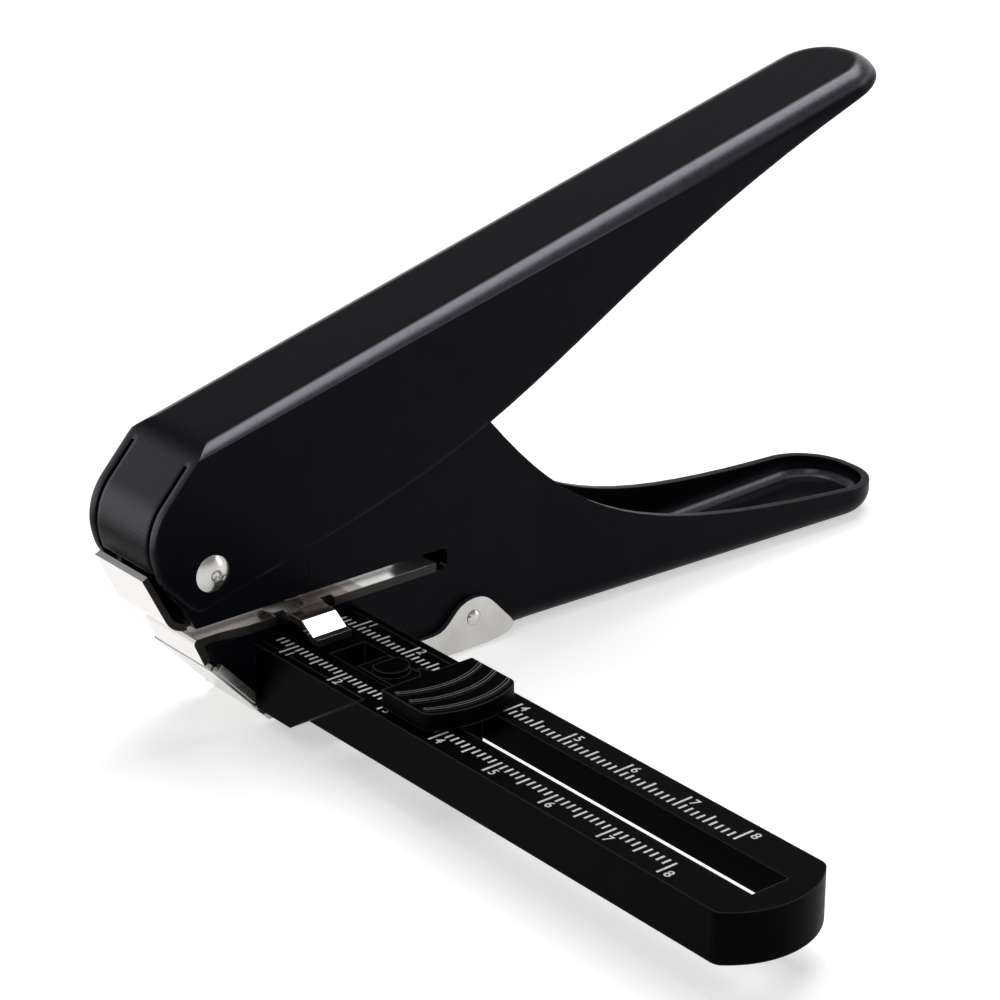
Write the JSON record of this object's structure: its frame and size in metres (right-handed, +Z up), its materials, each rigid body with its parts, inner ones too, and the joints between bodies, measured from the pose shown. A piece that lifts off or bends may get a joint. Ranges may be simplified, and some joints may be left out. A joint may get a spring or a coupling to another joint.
{
  "type": "single hole punch",
  "caption": "Plier style single hole punch in black sheet steel with a slotted side ruler, a sliding edge stop and a hinged nickel chip cover",
  "frame": {"origin": "on the rest plane, straight under the punch axis", "axes": "+X runs from the punch axis back to the handles, -Y runs out along the ruler, +Z is up along the punch"},
  "size_m": [0.1272, 0.1023, 0.0679],
  "materials": {
    "black_coat": "satin",
    "black_plastic": "satin",
    "nickel": "polished",
    "tool_steel": "brushed"
  },
  "bodies": {
    "body": {"lower_body": "black_coat", "die_plate": "nickel", "die_bush": "tool_steel", "guide_plate": "nickel", "guide_bush": "tool_steel", "pivot_rivet": "nickel", "pivot_spacer": "tool_steel", "ruler": "black_plastic", "ruler_holder": "black_plastic", "holder_screws": "tool_steel", "cover_rivets": "nickel", "return_spring": "tool_steel"},
    "lever": {"lever": "black_coat"},
    "punch": {"punch_pin": "tool_steel", "spring_washer": "tool_steel", "retaining_ring": "tool_steel"},
    "stop": {"stop_slider": "black_plastic", "slider_clip": "tool_steel", "slider_screw": "tool_steel"},
    "cover": {"chip_cover": "nickel"}
  },
  "joints": [
    {"name": "lever_hinge", "type": "hinge", "parent": "body", "child": "lever", "pos_m": [-0.0151, 0, 0.023], "axis": [0, 1, 0], "range_deg": [0, 16], "stiffness_Nm_per_rad": 0.6, "springref_deg": -28.65},
    {"name": "punch_slide", "type": "slide", "parent": "body", "child": "punch", "axis": [0, 0, -1], "range_m": [0, 0.0047], "deforming": ["return_spring"]},
    {"name": "stop_slide", "type": "slide", "parent": "body", "child": "stop", "axis": [0, -1, 0], "range_m": [-0.005, 0.051]},
    {"name": "cover_hinge", "type": "hinge", "parent": "body", "child": "cover", "pos_m": [0.0262, 0, 0.0045], "axis": [0, -1, 0], "range_deg": [0, 50]}
  ],
  "couplings": [
    {"joint": "punch_slide", "follows": "lever_hinge", "m_per_rad": 0.016427}
  ]
}
